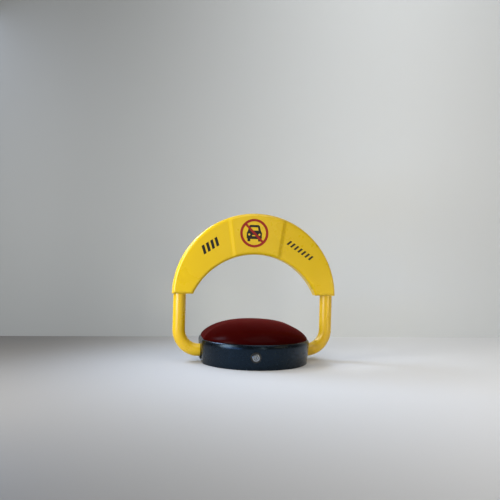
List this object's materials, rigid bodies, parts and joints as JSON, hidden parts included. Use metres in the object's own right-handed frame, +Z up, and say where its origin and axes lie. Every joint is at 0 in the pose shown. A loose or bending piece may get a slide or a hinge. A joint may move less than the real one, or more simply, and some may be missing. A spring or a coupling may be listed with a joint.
{
  "type": "folding parking lock",
  "caption": "Ground-mounted folding parking barrier: a bent hoop arm with a crescent sign cover, turned by a worm drive in a low round base with a hinged lid and key lock.",
  "frame": {"origin": "centre of the base's underside, on the ground, below the arm's pivot line", "axes": "+X to the right along the arm's pivot line, +Y to the back, the way the arm folds down, +Z up; the sign face looks to -Y"},
  "size_m": [0.463, 0.316, 0.415],
  "materials": {
    "arm_paint": "glossy yellow powder coat",
    "cover_plastic": "glossy yellow moulded plastic",
    "housing_plastic": "glossy black moulded plastic",
    "lid_plastic": "glossy dark red moulded plastic",
    "zinc_steel": "zinc-plated steel",
    "machined_steel": "ground and oiled steel",
    "iron": "painted casting",
    "bronze": "sintered bronze",
    "rubber": "matt black rubber",
    "lock_chrome": "polished chrome plate",
    "black_plastic": "matt black moulded plastic",
    "grey_plastic": "matt grey moulded plastic",
    "cell_skin": "plain plastic sleeve",
    "circuit_board": "green circuit board",
    "cable_skin": "soft black cable sheath"
  },
  "bodies": {
    "base": {"base_plate": "zinc_steel", "housing_shell": "housing_plastic", "lid_gasket": "rubber", "bearing_block_left": "iron", "bearing_block_right": "iron", "bush_left": "bronze", "bush_right": "bronze", "shaft_seal_left": "rubber", "shaft_seal_right": "rubber", "housing_screw_1": "zinc_steel", "housing_screw_2": "zinc_steel", "housing_screw_3": "zinc_steel", "housing_screw_4": "zinc_steel", "gear_case": "machined_steel", "motor_can": "zinc_steel", "motor_bracket": "zinc_steel", "worm_support": "zinc_steel", "hall_sensor_board": "circuit_board", "lid_hinge_bracket": "zinc_steel", "lid_hinge_pin": "machined_steel", "lock_body": "lock_chrome", "lock_seal_ring": "rubber", "lock_nut": "zinc_steel", "battery_box": "black_plastic", "battery_box_cover": "black_plastic", "battery_cell_1": "cell_skin", "battery_cell_2": "cell_skin", "battery_cell_3": "cell_skin", "battery_cell_4": "cell_skin", "control_box": "grey_plastic", "control_box_cover": "grey_plastic", "control_board": "circuit_board", "buzzer": "black_plastic", "battery_cable": "cable_skin", "motor_cable": "cable_skin"},
    "drive_wheel": {"worm_wheel": "bronze", "wheel_magnet": "lock_chrome"},
    "arm": {"main_shaft": "machined_steel", "retaining_ring": "machined_steel", "drive_dog": "machined_steel", "buffer_spring": "machined_steel", "arm_tube": "arm_paint", "hub_sleeve_left": "machined_steel", "hub_sleeve_right": "machined_steel", "hub_bolt_left": "zinc_steel", "hub_bolt_right": "zinc_steel", "cover_front": "cover_plastic", "cover_rear": "cover_plastic", "cover_screw_1": "zinc_steel", "cover_screw_2": "zinc_steel", "cover_screw_3": "zinc_steel", "cover_screw_4": "zinc_steel", "cover_screw_5": "zinc_steel"},
    "worm": {"worm": "machined_steel"},
    "lid": {"lid": "lid_plastic", "lid_catch": "zinc_steel"},
    "lock_plug": {"lock_plug": "lock_chrome", "lock_cam": "zinc_steel"},
    "pairing_button": {"pairing_button": "rubber"}
  },
  "joints": [
    {"name": "arm_swing", "type": "hinge", "parent": "base", "child": "drive_wheel", "pos_m": [0, 0, 0.031], "axis": [-1, 0, 0], "range_deg": [0, 90]},
    {"name": "arm_buffer", "type": "hinge", "parent": "drive_wheel", "child": "arm", "pos_m": [0, 0, 0.031], "axis": [-1, 0, 0], "range_deg": [-20, 20], "stiffness_Nm_per_rad": 120, "deforming": ["buffer_spring"]},
    {"name": "worm_spin", "type": "hinge", "parent": "base", "child": "worm", "pos_m": [0, 0, 0.0625], "axis": [0, -1, 0], "range_deg": [0, 2700]},
    {"name": "lid_open", "type": "hinge", "parent": "base", "child": "lid", "pos_m": [0, 0.137, 0.066], "axis": [-1, 0, 0], "range_deg": [0, 45]},
    {"name": "lock_turn", "type": "hinge", "parent": "base", "child": "lock_plug", "pos_m": [-0.01706, -0.13896, 0.034], "axis": [0.1219, 0.9925, 0], "range_deg": [0, 90]},
    {"name": "button_press", "type": "slide", "parent": "base", "child": "pairing_button", "axis": [0, 0, -1], "range_m": [0, 0.001], "stiffness_N_per_m": 300}
  ],
  "couplings": [
    {"joint": "worm_spin", "follows": "arm_swing", "ratio": 30}
  ]
}
